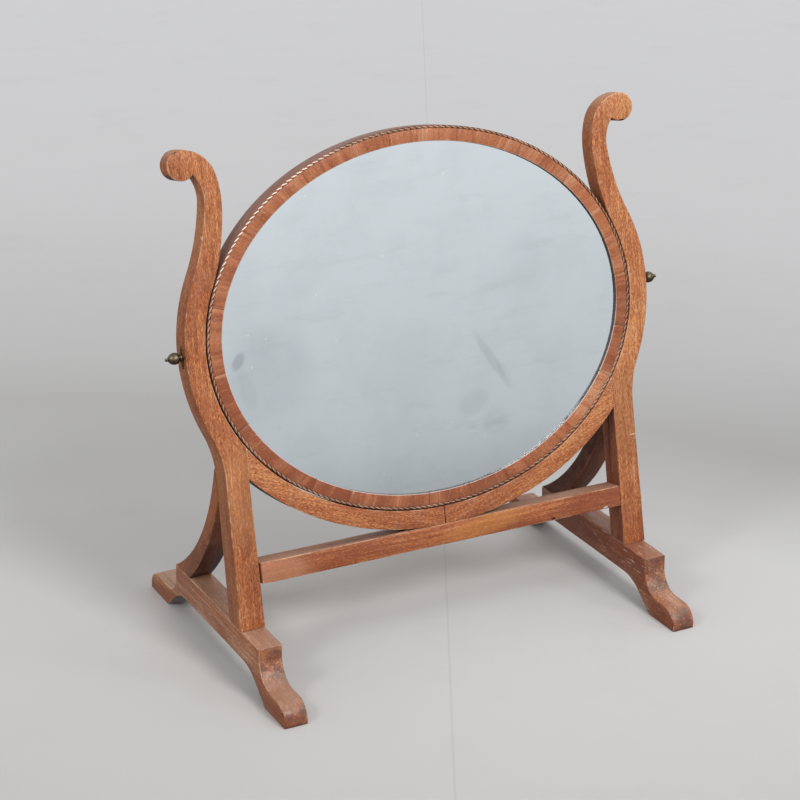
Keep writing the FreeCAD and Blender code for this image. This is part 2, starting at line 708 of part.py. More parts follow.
def build():
    rail_dowels, brace_dowels = make_dowels()
    rail = make_stretcher(rail_dowels)
    pins = make_pins()
    make_foot(brace_dowels)
    make_upright([rail, rail_dowels, brace_dowels, pins])
    make_brace(brace_dowels)
    make_crescents(rail_dowels)
    make_escutcheon(pins)
    finish_pair(tube("bush", D["bush_radius"], D["bush_start"], D["plate_seat"]), "pivot_bush")
    make_knob()
    finish_pair(tube("washer", D["washer_radius"], D["nut_plate_face"], D["washer_face"]), "pivot_washer")
    screw = make_wood_screw()
    nut_screws, recesses = make_nut_plates(screw)
    make_frame(recesses, nut_screws, make_backboard(screw))
    make_glass()


def write():
    doc.recompute()
    for obj in doc.Objects:
        if "Invalid" in obj.State or "Error" in obj.State:
            raise RuntimeError(f"{obj.Name} is {obj.State}")
    os.makedirs("parts", exist_ok=True)
    for piece in PARTS:
        if piece.Shape.isNull() or not piece.Shape.isValid():
            raise RuntimeError(f"{piece.Label} has no sound shape")
        piece.Shape.exportStep(f"parts/{piece.Label}.step")


build()
write()
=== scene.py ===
import math
import random

import bmesh
import bpy
from bpy.props import FloatProperty, FloatVectorProperty, IntProperty, PointerProperty
from mathutils import Matrix, Vector


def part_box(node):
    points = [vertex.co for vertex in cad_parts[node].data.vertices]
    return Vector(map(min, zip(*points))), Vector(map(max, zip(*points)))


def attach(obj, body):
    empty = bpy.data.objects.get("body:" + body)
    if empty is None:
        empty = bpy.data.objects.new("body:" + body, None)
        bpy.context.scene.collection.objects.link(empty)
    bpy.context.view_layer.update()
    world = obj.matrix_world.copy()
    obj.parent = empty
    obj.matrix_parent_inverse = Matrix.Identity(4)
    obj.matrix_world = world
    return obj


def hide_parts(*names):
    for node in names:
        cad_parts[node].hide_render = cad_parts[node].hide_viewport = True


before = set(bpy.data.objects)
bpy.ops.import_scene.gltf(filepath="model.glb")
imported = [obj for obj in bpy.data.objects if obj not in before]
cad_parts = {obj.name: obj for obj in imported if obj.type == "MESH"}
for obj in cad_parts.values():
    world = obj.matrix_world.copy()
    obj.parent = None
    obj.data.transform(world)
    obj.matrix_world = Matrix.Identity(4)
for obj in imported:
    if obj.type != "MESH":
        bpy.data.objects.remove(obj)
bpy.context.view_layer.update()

bl_info = {
    "name": "Swinging toilet mirror",
    "version": (1, 0, 0),
    "blender": (4, 5, 0),
    "location": "View3D > Sidebar > Mirror",
    "description": "Finishes an oval swing mirror: mahogany, stringing, old glass and bronze knobs",
    "category": "Object",
}

# --- measures -----------------------------------------------------------------------------------------

MM = 0.001
RAKE = math.radians(11.6)                  # how far the stand leans back
LEANING = ("X", -math.degrees(RAKE))       # the same, as a turn about an axis in degrees
FOOT_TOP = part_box("foot_left")[1].z
LEAN_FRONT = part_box("upright_left")[0].y   # front edge of the uprights where they meet the feet
OVAL_UP = 0.265                            # middle of the oval, up the slope from the foot
EDGE = Vector((0.227, 0.184))              # half axes of the frame's outer edge
SIGHT = Vector((0.212, 0.1692))            # half axes of the opening over the glass

BAND_ARRIS = 0.75 * MM                     # rounded corner of the crossbanding
SHARP = math.radians(35)                   # an edge that turns by more than this gets an arris
WELD = 0.01 * MM                           # corners nearer to each other than this are one

# The dark strip of the stringing: how far in from the frame's edge its middle lies, and how far back.
STRIP_INSET, STRIP_BACK = 1.3 * MM, 1.1 * MM
STRIP_WIDTH, STRIP_DEPTH = 2.6 * MM, 2.0 * MM
STRAND_WIDTH, STRAND_PROUD = 1.3 * MM, 0.2 * MM
STRIP_STEPS, STRAND_SIDES = 256, 12

# Where the crossbanding is pieced, in degrees round the oval from the right.
BAND_JOINTS = (4, 17, 41, 58, 77, 96, 121, 143, 166, 186, 204, 232, 243, 266, 278, 289, 300, 311, 331, 347)
BAND_SEED = 11
BAND_FADING, BAND_SWING, FADED_SIDE = 0.31, 0.14, 65   # mean fading, its swing, and the angle that has most
BAND_VARIETY = 0.1                                     # how far a piece may differ from its neighbours
PALE_PIECE, PALE_LIFT, SHADED_DROP = 311, 0.35, 0.14   # the palest piece; those after it are darker

# Where the painted highlight along the inner edge of the crossbanding comes in and goes out, as shares of the
# turn.
RIM_START, RIM_END = (0.42, 0.47), (0.995, 0.97)

# --- fixed tones, noise and marks ---------------------------------------------------------------------

# Painted shade: the tones that sides in shade and faces that look down are multiplied by.
SIDE_SHADE, UNDERSIDE_SHADE = (0.5, 0.38, 0.4), (0.25, 0.22, 0.22)   # multiply the tone of sides and undersides
DIRT, SCRATCHED = (0.09, 0.045, 0.04), (0.78, 0.54, 0.42)
# Bare wood, and the near-black painted shade of a notch.
BARE, NOTCH_SHADE = (0.85, 0.68, 0.55), (0.03, 0.015, 0.01)
# Painted shade in the rebate at the glass, and a painted highlight along the inner edge of the crossbanding.
REBATE_SHADE, RIM_HIGHLIGHT = (0.055, 0.055, 0.05), (0.76, 0.72, 0.72)
SMEARED, BRIGHT_SPECK = (0.3, 0.33, 0.36), (1, 1, 1)        # on the glass
BOARD_DARK, BOARD_LIGHT = (0.24, 0.12, 0.06), (0.53, 0.34, 0.2)
# Painted highlight on the stringing at the upper left of the oval: how far each strand is painted towards a
# lighter tone, and that tone for the light strands.
DARK_STRAND_HIGHLIGHT, LIGHT_STRAND_HIGHLIGHT = 0.8, 0.95                      # how far the strands are painted lighter at the upper left, a painted highlight
HIGHLIT_HOLLY = (0.95, 0.86, 0.74)

# Metals: setting that holds the clean colour, colour of the dirt, roughness and share of dirt.
METALS = {"patinated_bronze": ("bronze", (0.05, 0.035, 0.02), 0.36, 0.6),
          "dull_brass": ("brass", (0.04, 0.025, 0.015), 0.42, 0.75),
          "dark_steel": ("steel", (0.06, 0.045, 0.035), 0.4, 0.6)}

# Noise in old timber: offset, scale, detail, roughness and the factor that draws it out along the grain.
STREAKS = ((4, 9, 2), 330, 4, 0.65, 0.045)
FLECKS = ((1, 5, 8), 1150, 3, 0.7, 0.3)
PORES = ((3, 1, 2), 1300, 2, 0.5, 0.22)
SCRATCHES = ((7, 2, 4), 520, 3, 0.7, 0.12)

# Single marks on timber: middle (across, up the slope), half sizes, turn in degrees, colour and strength.
POST_MARKS = {
    "left": (((-213, 130), (45, 60), 0, (0.75, 0.4, 0.17), 0.17), ((-220, 374), (1.0, 2.4), -14, BARE, 0.5)),
    "right": (((214, 135), (45, 65), 0, (0.2, 0.06, 0.025), 0.35), ((219, 112.5), (5, 0.7), 4, BARE, 0.65),
              ((221, 108), (3, 0.5), 0, BARE, 0.5)),
}
RAIL_MARKS = (
    # The second mark paints the shade inside a small notch in the front of the stretcher.
    ((181, 43.4), (3.4, 1.5), 10, (0.95, 0.92, 0.9), 1.0), ((120, 43), (3.5, 2.8), 0, NOTCH_SHADE, 0.9),
    ((185, 50), (75, 22), 0, (0.2, 0.05, 0.03), 0.5), ((40, 52), (60, 13), 6, (0.62, 0.27, 0.07), 0.35),
    ((-185, 50), (50, 20), 0, (0.66, 0.34, 0.2), 0.35))
MARK_DEPTH, SMUDGE_DEPTH = 6, 30           # half depths in mm: a mark stays on the front, a smudge needn't

# Smudges on the glass: middle (across, up from the middle), half sizes, turn in degrees and strength.
GLASS_SMUDGES = (
    ((-197, -10), (7, 12), -35, 0.33), ((66, -48), (6, 42), 30, 0.16), ((80, -68), (7, 22), 24, 0.09),
    ((43, -90), (24, 15), 20, 0.12), ((66, -112), (20, 18), 0, 0.08), ((-190, -40), (10, 26), 12, 0.07),
    ((-20, 128), (30, 12), 0, 0.05), ((-120, 60), (46, 20), 25, 0.04), ((110, 40), (30, 36), 0, 0.04),
    ((-168, -25), (60, 60), 0, 0.13))

# --- studio -------------------------------------------------------------------------------------------

# Tone of the floor from 0.5 m before the mirror (0) to 3.5 m behind it (1). The dip around 0.267 is a painted
# shadow that the mirror throws back, and the rise beyond it is that painted shadow fading out further back.
FLOOR_REACH = (-0.5, 3.5)
FLOOR_TONES_AND_SHADOW = (
    (0.0, (0.515, 0.508, 0.5)), (0.11, (0.635, 0.63, 0.625)), (0.19, (0.66, 0.657, 0.655)),
    (0.267, (0.475, 0.47, 0.467)), (0.362, (0.53, 0.527, 0.53)), (0.483, (0.595, 0.59, 0.6)),
    (0.603, (0.61, 0.61, 0.62)), (1.0, (0.64, 0.64, 0.66)))
FLOOR_RADIUS = 12
FLOOR_STAIN = (0.2, 0.19, 0.18)
SEAM_ASIDE = 0.03                          # a joint in the floor, to the right of the mirror's middle
BESIDE, BACKDROP = (0.6, 0.6, 0.605), (0.63, 0.63, 0.64)   # floor at the sides, and everything far off

# Tone of the room that polished surfaces mirror, from just below the horizon (0) to just above it (1).
MIRRORED_REACH = (-0.2, 0.2)
MIRRORED_TONES = (
    (0.0, (0.2, 0.2, 0.2)), (0.3, (0.25, 0.25, 0.25)), (0.42, (0.54, 0.54, 0.545)),
    (0.5, (0.6, 0.6, 0.605)), (0.9, (0.84, 0.84, 0.845)))

# Lamps: name, place, what it aims at and its width; its power is a setting.
LAMPS = (("Overhead", (0.2, 0.1, 2.6), (0, 0, 0), 1.6), ("Front", (0.4, -2.6, 2.3), (0, 0, 0.2), 1.0),
         ("Left", (-1.9, -0.75, 1.7), (0, 0, 0.2), 0.6), ("Right", (1.7, -1.3, 2.1), (0, 0, 0.2), 0.5))
SENSOR, CAMERA_REACH = 36, 60              # width of the sensor in mm, and how far the camera sees in metres


def leaning(x, back, up):
    """A point in the leaning plane of the uprights, in the frame's own axes."""
    c, s = math.cos(RAKE), math.sin(RAKE)
    return Vector((x, LEAN_FRONT + c * back + s * up, FOOT_TOP + c * up - s * back))


def grain(*turns):
    """Rotation that lays the grain (Z) where a row of turns about the axes carries it, the last one first."""
    matrix = Matrix.Identity(3)
    for axis, angle in turns:
        matrix = matrix @ Matrix.Rotation(math.radians(angle), 3, axis)
    return matrix.to_euler()


# --- settings -----------------------------------------------------------------------------------------

def measure(name, description, value):
    return FloatProperty(name=name, description=description, default=value, min=0, unit="LENGTH")


def colour(name, description, value):
    return FloatVectorProperty(name=name, description=description, default=value, size=3,
                               min=0, max=1, subtype="COLOR")


def power(name, description, value):
    return FloatProperty(name=name, description=description, default=value, min=0, unit="POWER")


class MIRROR_PG_sizes(bpy.types.PropertyGroup):
    arris: measure("Arris", "Width of the rubbed corner on the timber", 1.0 * MM)
    rail_arris: measure("Crescent arris", "Width of the rubbed corner on the crescents", 0.5 * MM)
    strands: IntProperty(name="Strands", description="Light strands in the edge stringing", default=206,
                         min=8)
    strand_length: measure("Strand length", "Length of a light strand in the stringing", 6.4 * MM)
    strand_slant: FloatProperty(name="Strand slant", description="Slant of a strand across the stringing",
                                default=math.radians(16), subtype="ANGLE")


class MIRROR_PG_colours(bpy.types.PropertyGroup):
    golden: colour("Golden mahogany", "Faded light figure of the stand", (0.67, 0.325, 0.138))
    russet: colour("Russet mahogany", "Middle tone of the stand", (0.45, 0.15, 0.057))
    umber: colour("Dark mahogany", "Dark figure of the stand", (0.26, 0.072, 0.03))
    pore: colour("Pores", "Polish and dirt in the grain", (0.09, 0.03, 0.017))
    # Bare wood on the corners, which also stands in for a painted highlight along them.
    arris: colour("Rubbed arris", "Bare wood on the corners", (0.9, 0.62, 0.42))
    foot: colour("Foot", "Middle tone of the feet", (0.36, 0.113, 0.041))
    foot_light: colour("Foot, worn", "Light flecks on the feet", (0.58, 0.31, 0.18))
    scuff: colour("Scuff", "Dulled and scratched polish", (0.42, 0.24, 0.15))
    dust: colour("Dust", "Dust on what faces up", (0.46, 0.33, 0.245))
    band: colour("Crossbanding", "Veneer on the front of the frame", (0.44, 0.15, 0.062))
    band_light: colour("Crossbanding, faded", "Faded pieces of the veneer", (0.62, 0.33, 0.19))
    core: colour("Frame", "Solid edge of the frame", (0.24, 0.115, 0.085))
    core_worn: colour("Frame, worn", "Light flecks on the edge of the frame", (0.36, 0.21, 0.165))
    brace: colour("Brace", "Darker timber behind", (0.2, 0.075, 0.042))
    holly: colour("Light strand", "Light wood in the stringing", (0.5, 0.265, 0.15))
    ebony: colour("Dark strand", "Dark wood in the stringing", (0.06, 0.026, 0.018))
    silver: colour("Silvering", "Mirror plate", (0.86, 0.935, 0.975))
    bronze: colour("Bronze", "Patinated knobs", (0.2, 0.16, 0.1))
    brass: colour("Brass", "Plates and bushes", (0.2, 0.15, 0.08))
    steel: colour("Steel", "Screws and washers", (0.25, 0.23, 0.21))
    pine: colour("Backboard", "Unpolished board behind the glass", (0.4, 0.225, 0.118))


class MIRROR_PG_studio(bpy.types.PropertyGroup):
    overhead: power("Overhead lamp", "Soft lamp above", 4)
    front: power("Front lamp", "Broad lamp in front", 54)
    left: power("Left lamp", "Low lamp at the left", 11)
    right: power("Right lamp", "Weak lamp at the right", 4.5)
    room: FloatProperty(name="Room light", description="Even light of the room", default=0.5, min=0)
    focal: FloatProperty(name="Lens", description="Focal length in millimetres", default=104.59)
    eye: FloatVectorProperty(name="Eye", description="Where the camera stands",
                             default=(-0.978, -1.8735, 1.067), subtype="TRANSLATION", unit="LENGTH")
    heading: FloatProperty(name="Heading", description="Turn of the camera from straight back, to the left",
                           default=math.radians(-27.08), subtype="ANGLE")
    drop: FloatProperty(name="Drop", description="How far the camera looks down",
                        default=math.radians(21.71), subtype="ANGLE")


def sizes():
    return bpy.context.scene.mirror_sizes


def colours():
    return bpy.context.scene.mirror_colours


# --- shader building ----------------------------------------------------------------------------------

class Tree:
    """Adds nodes to a tree from left to right and joins them."""

    def __init__(self, tree):
        self.tree, self.column = tree, -1200

    def add(self, kind, ins=None, **settings):
        """A node with its settings, and its inputs given as values or as another node's output."""
        node = self.tree.nodes.new(kind)
        node.location = (self.column, 0)
        self.column += 60
        for key, value in settings.items():
            setattr(node, key, value)
        for key, value in (ins or {}).items():
            self.feed(node.inputs[key], value)
        return node

    def feed(self, socket, value):
        if isinstance(value, bpy.types.NodeSocket):
            self.tree.links.new(value, socket)
        elif isinstance(value, bpy.types.Node):
            self.tree.links.new(value.outputs[0], socket)
        elif socket.type == "RGBA" and len(value) == 3:
            socket.default_value = (*value, 1)
        else:
            socket.default_value = value

    def math(self, operation, a, b=0.0, clamp=False):
        return self.add("ShaderNodeMath", {0: a, 1: b}, operation=operation, use_clamp=clamp).outputs[0]

    def times(self, a, b):
        return self.math("MULTIPLY", a, b)

    def plus(self, a, b):
        return self.math("ADD", a, b)

    def mix(self, factor, a, b, blend="MIX"):
        node = self.add("ShaderNodeMix", data_type="RGBA", blend_type=blend, clamp_factor=True)
        for index, value in ((0, factor), (6, a), (7, b)):
            self.feed(node.inputs[index], value)
        return node.outputs[2]

    def span(self, value, low, high, to_low=0.0, to_high=1.0, ease="SMOOTHSTEP"):
        """Stretch a value from one span to another, held at the ends."""
        return self.add("ShaderNodeMapRange", {0: value, 1: low, 2: high, 3: to_low, 4: to_high},
                        interpolation_type=ease).outputs[0]

    def ramp(self, value, stops, interpolation="LINEAR"):
        """Colours laid along a value from 0 to 1."""
        ramp = self.add("ShaderNodeValToRGB", {"Fac": value})
        ramp.color_ramp.interpolation = interpolation
        elements = ramp.color_ramp.elements
        for index, (at, shade) in enumerate(stops):
            element = elements[index] if index < 2 else elements.new(at)
            element.position, element.color = at, (*shade, 1)
        return ramp.outputs["Color"]

    def noise(self, vector, scale, detail, roughness=0.55, stretch=None):
        if stretch:
            vector = self.add("ShaderNodeVectorMath", {0: vector, 1: stretch}, operation="MULTIPLY")
        node = self.add("ShaderNodeTexNoise", {"Vector": vector, "Scale": scale, "Detail": detail,
                                               "Roughness": roughness}, noise_dimensions="3D")
        return node.outputs["Fac"]

    def drawn(self, vector, offset, scale, detail, roughness, along):
        """Noise that is drawn out along the grain (Z)."""
        return self.noise(self.shift(vector, offset), scale, detail, roughness, (1, 1, along))

    def shift(self, vector, by):
        return self.add("ShaderNodeVectorMath", {0: vector, 1: by}, operation="ADD").outputs[0]

    def axes(self, vector):
        """The X, Y and Z of a vector."""
        return self.add("ShaderNodeSeparateXYZ", {0: vector}).outputs

    def vector(self, x, y, z):
        return self.add("ShaderNodeCombineXYZ", {0: x, 1: y, 2: z}).outputs[0]

    def length(self, vector):
        return self.add("ShaderNodeVectorMath", {0: vector}, operation="LENGTH").outputs["Value"]

    def own_place(self):
        """The place on the surface, in the object's own axes."""
        return self.add("ShaderNodeTexCoord").outputs["Object"]


def new_group(name, inputs, outputs):
    """An empty shader node group with the sockets named."""
    tree = bpy.data.node_groups.new(name, "ShaderNodeTree")
    for direction, sockets in (("INPUT", inputs), ("OUTPUT", outputs)):
        for socket, kind, default in sockets:
            made = tree.interface.new_socket(socket, in_out=direction, socket_type="NodeSocket" + kind)
            if default is not None:
                made.default_value = (*default, 1) if kind == "Color" else default
    return Tree(tree), tree.nodes.new("NodeGroupInput").outputs, tree.nodes.new("NodeGroupOutput").inputs


def timber_group():
    """Mahogany seen along its grain (Z): broad patches, long streaks, short flecks and open pores."""
    t, ins, outs = new_group(
        "Mahogany figure",
        [("Vector", "Vector", None), ("Dark", "Color", (0.2, 0.06, 0.03)),
         ("Mid", "Color", (0.4, 0.14, 0.06)), ("Light", "Color", (0.65, 0.3, 0.13)),
         ("Pore", "Color", (0.08, 0.03, 0.02)), ("Patch size", "Float", 14.0), ("Patches", "Float", 2.4),
         ("Streaks", "Float", 1.4), ("Flecks", "Float", 2.0), ("Pores", "Float", 0.5),
         ("Level", "Float", 0.5)],
        [("Color", "Color", None), ("Height", "Float", None)])
    v = ins["Vector"]

    def swing(value, amount):
        return t.times(t.math("SUBTRACT", value, 0.5), amount)

    patch = swing(t.noise(v, ins["Patch size"], 4, 0.6, (1, 1, 0.22)), ins["Patches"])
    streak = swing(t.drawn(v, *STREAKS), ins["Streaks"])
    fleck = swing(t.drawn(v, *FLECKS), ins["Flecks"])
    tone = t.plus(t.plus(ins["Level"], patch), t.plus(streak, fleck))
    lower = t.mix(t.span(tone, 0.1, 0.5), ins["Dark"], ins["Mid"])
    base = t.mix(t.span(tone, 0.5, 0.95), lower, ins["Light"])
    pore = t.times(t.span(t.drawn(v, *PORES), 0.57, 0.73), ins["Pores"])
    t.feed(outs["Color"], t.mix(pore, base, ins["Pore"]))
    t.feed(outs["Height"], t.math("SUBTRACT", t.times(tone, 0.4), pore))
    return t.tree


def handling_group():
    """Age over any timber: painted shade on shaded sides and undersides, darker patches on faces that look
    forward, dulled and scratched polish, and dust on top.
    """
    t, ins, outs = new_group(
        "Handling and dust",
        [("Vector", "Vector", None), ("Color", "Color", (0.4, 0.2, 0.1)),
         ("Scuff", "Color", (0.4, 0.3, 0.2)), ("Dust", "Color", (0.45, 0.38, 0.32)),
         ("Dirt", "Color", DIRT), ("Scuffs", "Float", 0.2), ("Dusting", "Float", 0.3),
         ("Polish", "Float", 0.42), ("Unfaded left", "Float", 0.0), ("Unfaded right", "Float", 0.0),
         ("Grime", "Float", 0.0), ("Scratches", "Float", 0.0)],
        [("Color", "Color", None), ("Roughness", "Float", None)])
    v = ins["Vector"]
    side, front, up = t.axes(t.add("ShaderNodeNewGeometry").outputs["Normal"])

    # Painted shade on the sides: faces that look left or right are darkened as set for each piece, fully
    # below 0.25 m and at 0.4 of that above 0.45 m, where the mirror and the posts shade them.
    left = t.times(t.span(side, -0.5, -0.9), ins["Unfaded left"])
    right = t.times(t.span(side, 0.5, 0.9), ins["Unfaded right"])
    low = t.math("MAXIMUM", t.span(t.axes(t.own_place())[2], 0.45, 0.25), 0.4)
    shade = t.mix(t.times(t.plus(left, right), low), ins["Color"], SIDE_SHADE, "MULTIPLY")
    # Painted shade on faces that look down, such as the underside of the feet's arches.
    shade = t.mix(t.span(up, -0.3, -0.8), shade, UNDERSIDE_SHADE, "MULTIPLY")

    dirt = t.times(t.span(front, -0.1, -0.7), t.span(t.noise(v, 95, 4, 0.7), 0.34, 0.6))
    shade = t.mix(t.times(dirt, ins["Grime"]), shade, ins["Dirt"])
    blotch = t.span(t.noise(v, 60, 4, 0.65), 0.42, 0.72)
    shade = t.mix(t.times(blotch, ins["Scuffs"]), shade, ins["Scuff"])
    scratch = t.span(t.drawn(v, *SCRATCHES), 0.58, 0.7)
    scratch = t.times(scratch, t.span(t.noise(t.shift(v, (1, 1, 3)), 22, 3), 0.45, 0.62))
    shade = t.mix(t.times(scratch, ins["Scratches"]), shade, SCRATCHED)

    lying = t.times(t.span(up, 0.45, 0.95), t.span(t.noise(v, 140, 3), 0.25, 0.75, 0.55, 1))
    lying = t.times(lying, ins["Dusting"])
    t.feed(outs["Color"], t.mix(lying, shade, ins["Dust"]))
    gloss = t.plus(ins["Polish"], t.times(blotch, 0.16))
    t.feed(outs["Roughness"], t.math("ADD", gloss, t.times(lying, 0.35), clamp=True))
    return t.tree


def oval_group():
    """Place round an oval in the leaning plane.

    Turn goes from 0 to 1, Grain holds metres along the oval, back and out, and Out is metres out from the
    sight edge."""
    t, ins, outs = new_group(
        "Round the oval", [("Vector", "Vector", None)],
        [("Turn", "Float", None), ("Grain", "Vector", None), ("Out", "Float", None)])
    x, back, up = t.axes(ins["Vector"])
    across, high = t.math("DIVIDE", x, SIGHT.x), t.math("DIVIDE", up, SIGHT.y)
    turn = t.math("FRACT", t.plus(t.math("DIVIDE", t.math("ARCTAN2", high, across), math.tau), 1))
    reach = t.math("SQRT", t.plus(t.times(across, across), t.times(high, high)))
    out = t.times(t.math("SUBTRACT", reach, 1), (SIGHT.x + SIGHT.y) / 2)
    along = t.times(turn, math.pi * (EDGE.x + EDGE.y))
    t.feed(outs["Turn"], turn)
    t.feed(outs["Grain"], t.vector(along, back, out))
    t.feed(outs["Out"], out)
    return t.tree


GROUPS = {"Mahogany figure": timber_group, "Handling and dust": handling_group, "Round the oval": oval_group}


def group(t, name, **ins):
    node = t.add("ShaderNodeGroup")
    node.node_tree = bpy.data.node_groups.get(name) or GROUPS[name]()
    for key, value in ins.items():
        t.feed(node.inputs[key.replace("_", " ")], value)
    return node.outputs


# --- materials ----------------------------------------------------------------------------------------

def start_material(name, turn=(0, 0, 0), centre=(0, 0, 0), fold=False):
    """A material whose vector is the piece's own place, seen from a centre and turned so that Z is its grain.

    Folded, the left half is like the right one."""
    material = bpy.data.materials.new(name)
    material.use_nodes = True
    t = Tree(material.node_tree)
    shader = t.tree.nodes["Principled BSDF"]
    shader.location = (600, 0)
    t.tree.nodes["Material Output"].location = (900, 0)
    vector = t.own_place()
    if fold:
        x, y, z = t.axes(vector)
        vector = t.vector(t.math("ABSOLUTE", x), y, z)
    mapping = t.add("ShaderNodeMapping", {"Vector": vector, "Location": centre, "Rotation": turn},
                    vector_type="TEXTURE")
    return material, t, shader, mapping.outputs[0]


def start_oval(name):
    """A material whose vector lies in the leaning plane, from the middle of the oval."""
    return start_material(name, grain(LEANING), leaning(0, 0, OVAL_UP))


def bump(t, shader, height, distance, strength):
    node = t.add("ShaderNodeBump", {"Strength": strength, "Distance": distance, "Height": height})
    t.feed(shader.inputs["Normal"], node)


def face_wood(t, shader, shade, hand, wood, relief, strength, sheen=0.5):
    """Join a timber's colour, polish and relief to its shader."""
    t.feed(shader.inputs["Base Color"], shade)
    t.feed(shader.inputs["Roughness"], hand["Roughness"])
    shader.inputs["Specular IOR Level"].default_value = sheen
    bump(t, shader, wood["Height"], relief, strength)


def spot(t, vector, centre, radii, turn, depth):
    """A soft-edged mark on the leaning plane: middle, half sizes across and up, turn and half depth."""
    seen = t.add("ShaderNodeMapping", {"Vector": vector, "Location": (centre[0] * MM, 0, centre[1] * MM),
                                       "Rotation": (0, math.radians(-turn), 0),
                                       "Scale": (radii[0] * MM, depth * MM, radii[1] * MM)},
                 vector_type="TEXTURE")
    return t.span(t.length(seen), 1.0, 0.45)


def marks(t, shade, spots):
    """Paint single marks, placed across and up the leaning plane, over a colour."""
    place = t.add("ShaderNodeMapping", {"Vector": t.own_place(), "Location": leaning(0, 0, 0),
                                        "Rotation": grain(LEANING)}, vector_type="TEXTURE").outputs[0]
    for centre, radii, turn, tone, strength in spots:
        there = spot(t, place, centre, radii, turn, MARK_DEPTH)
        shade = t.mix(t.times(there, strength), shade, tone)
    return shade


def figured(t, vector, tones, **amounts):
    """The figure of a timber whose dark, middle and light tones are given."""
    dark, mid, light = tones
    return group(t, "Mahogany figure", Vector=vector, Dark=dark, Mid=mid, Light=light, Pore=colours().pore,
                 **amounts)


def timber(name, turn, tones, wear_and_highlight=0.0, age=None, fold=False, sheen=0.22, butt=False, spots=(), fading=0.0,
           Level=0.5, log=(0, 0, 0), **amounts):
    """Old polished mahogany with its grain along the turned Z; age holds what the handling group takes.

    Fading lifts the tone towards the top and lowers it towards the foot; log is where in the log it was
    sawn, and butt draws the joint between two halves that meet in the middle."""
    material, t, shader, vector = start_material(name, turn, log, fold)
    c = colours()
    if fading:
        Level = t.span(t.axes(vector)[2], 0.05, 0.4, Level - fading, Level + fading, "LINEAR")
    wood = figured(t, vector, tones, Level=Level, **amounts)
    hand = group(t, "Handling and dust", Vector=vector, Color=wood["Color"], Scuff=c.scuff, Dust=c.dust,
                 **{"Scuffs": 0.15, "Dusting": 0.2, "Polish": 0.4, **(age or {})})
    shade = marks(t, hand["Color"], spots)
    if butt:
        across = t.math("ABSOLUTE", t.axes(t.own_place())[0])
        shade = t.mix(t.span(across, 0.9 * MM, 0.3 * MM), shade, c.pore)
    # Pale arrises: partly rubbed bare wood, partly a painted highlight along the corners.
    if wear_and_highlight:
        rubbed = t.span(t.noise(vector, 30, 5, 0.8), 0.46, 0.6)
        shade = t.mix(t.times(rubbed, wear_and_highlight), shade, c.arris)
    face_wood(t, shader, shade, hand, wood, 0.12 * MM, 0.6, sheen)
    return material


def plain_board(name, tones, turn, **amounts):
    """Unpolished wood, dry and a little dusty."""
    material, t, shader, vector = start_material(name, turn)
    c = colours()
    wood = figured(t, vector, tones, Patch_size=9.0, **amounts)
    hand = group(t, "Handling and dust", Vector=vector, Color=wood["Color"], Scuff=c.scuff, Scuffs=0.2,
                 Dusting=0.3, Polish=0.62, Dust=c.dust)
    face_wood(t, shader, hand["Color"], hand, wood, 0.15 * MM, 0.7)
    return material


def band_tones():
    """Where each tone of the crossbanding starts, as a share of the turn, and how faded it is.

    One starts at 0, where the turn does, and one at each joint, so the piece that spans 0 has two tones."""
    tones = random.Random(BAND_SEED)
    for angle in (0, *BAND_JOINTS):
        faded = BAND_FADING + BAND_SWING * math.cos(math.radians(angle - FADED_SIDE))
        if angle == PALE_PIECE:
            faded += PALE_LIFT
        elif angle > PALE_PIECE:
            faded -= SHADED_DROP
        faded += tones.uniform(-BAND_VARIETY, BAND_VARIETY)
        yield angle / 360, (faded,) * 3


def banding(name, rim=False):
    """Crossbanded mahogany: each piece of veneer its own tone, with the fibres running out from the glass."""
    material, t, shader, vector = start_oval(name)
    c = colours()
    place = group(t, "Round the oval", Vector=vector)
    pieces = t.ramp(place["Turn"], band_tones(), "CONSTANT")
    level = t.add("ShaderNodeSeparateColor", {0: pieces}).outputs[0]
    wood = figured(t, place["Grain"], (c.umber, c.band, c.band_light), Patch_size=60.0, Patches=1.2,
                   Streaks=1.0, Flecks=1.6, Pores=0.45, Level=level)
    hand = group(t, "Handling and dust", Vector=place["Grain"], Color=wood["Color"], Scuff=c.scuff,
                 Scuffs=0.2, Scratches=0.45, Dusting=0.0, Polish=0.42)
    shade = hand["Color"]
    # Painted highlight: a pale line along the sight edge, faint all round and stronger from the left, round
    # the bottom, to the lower right; the worn factor only places it.
    if rim:
        inner = t.span(place["Out"], 1.3 * MM, 0.9 * MM)
        worn = t.times(t.span(place["Turn"], *RIM_START), t.span(place["Turn"], *RIM_END))
        shade = t.mix(t.times(inner, t.plus(t.times(worn, 0.35), 0.15)), shade, RIM_HIGHLIGHT)
    face_wood(t, shader, shade, hand, wood, 0.1 * MM, 0.5, 0.3)
    return material


def frame_edge():
    """Solid mahogany of the swing frame, its grain running round, with painted shade where it meets the
    glass.
    """
    material, t, shader, vector = start_oval("frame_timber")
    c = colours()
    place = group(t, "Round the oval", Vector=vector)
    along, back, out = t.axes(place["Grain"])
    wood = figured(t, t.vector(back, out, along), (c.brace, c.core, c.core_worn), Patch_size=16.0, Pores=0.4,
                   Level=0.62)
    hand = group(t, "Handling and dust", Vector=vector, Color=wood["Color"], Scuff=c.foot, Scuffs=0.3,
                 Dusting=0.0, Polish=0.42)
    # Painted shade: the inner wall next to the glass is darkened almost to black.
    rebate = t.span(place["Out"], 1.2 * MM, 0.4 * MM)
    face_wood(t, shader, t.mix(rebate, hand["Color"], REBATE_SHADE), hand, wood, 0.1 * MM, 0.5, 0.3)
    return material


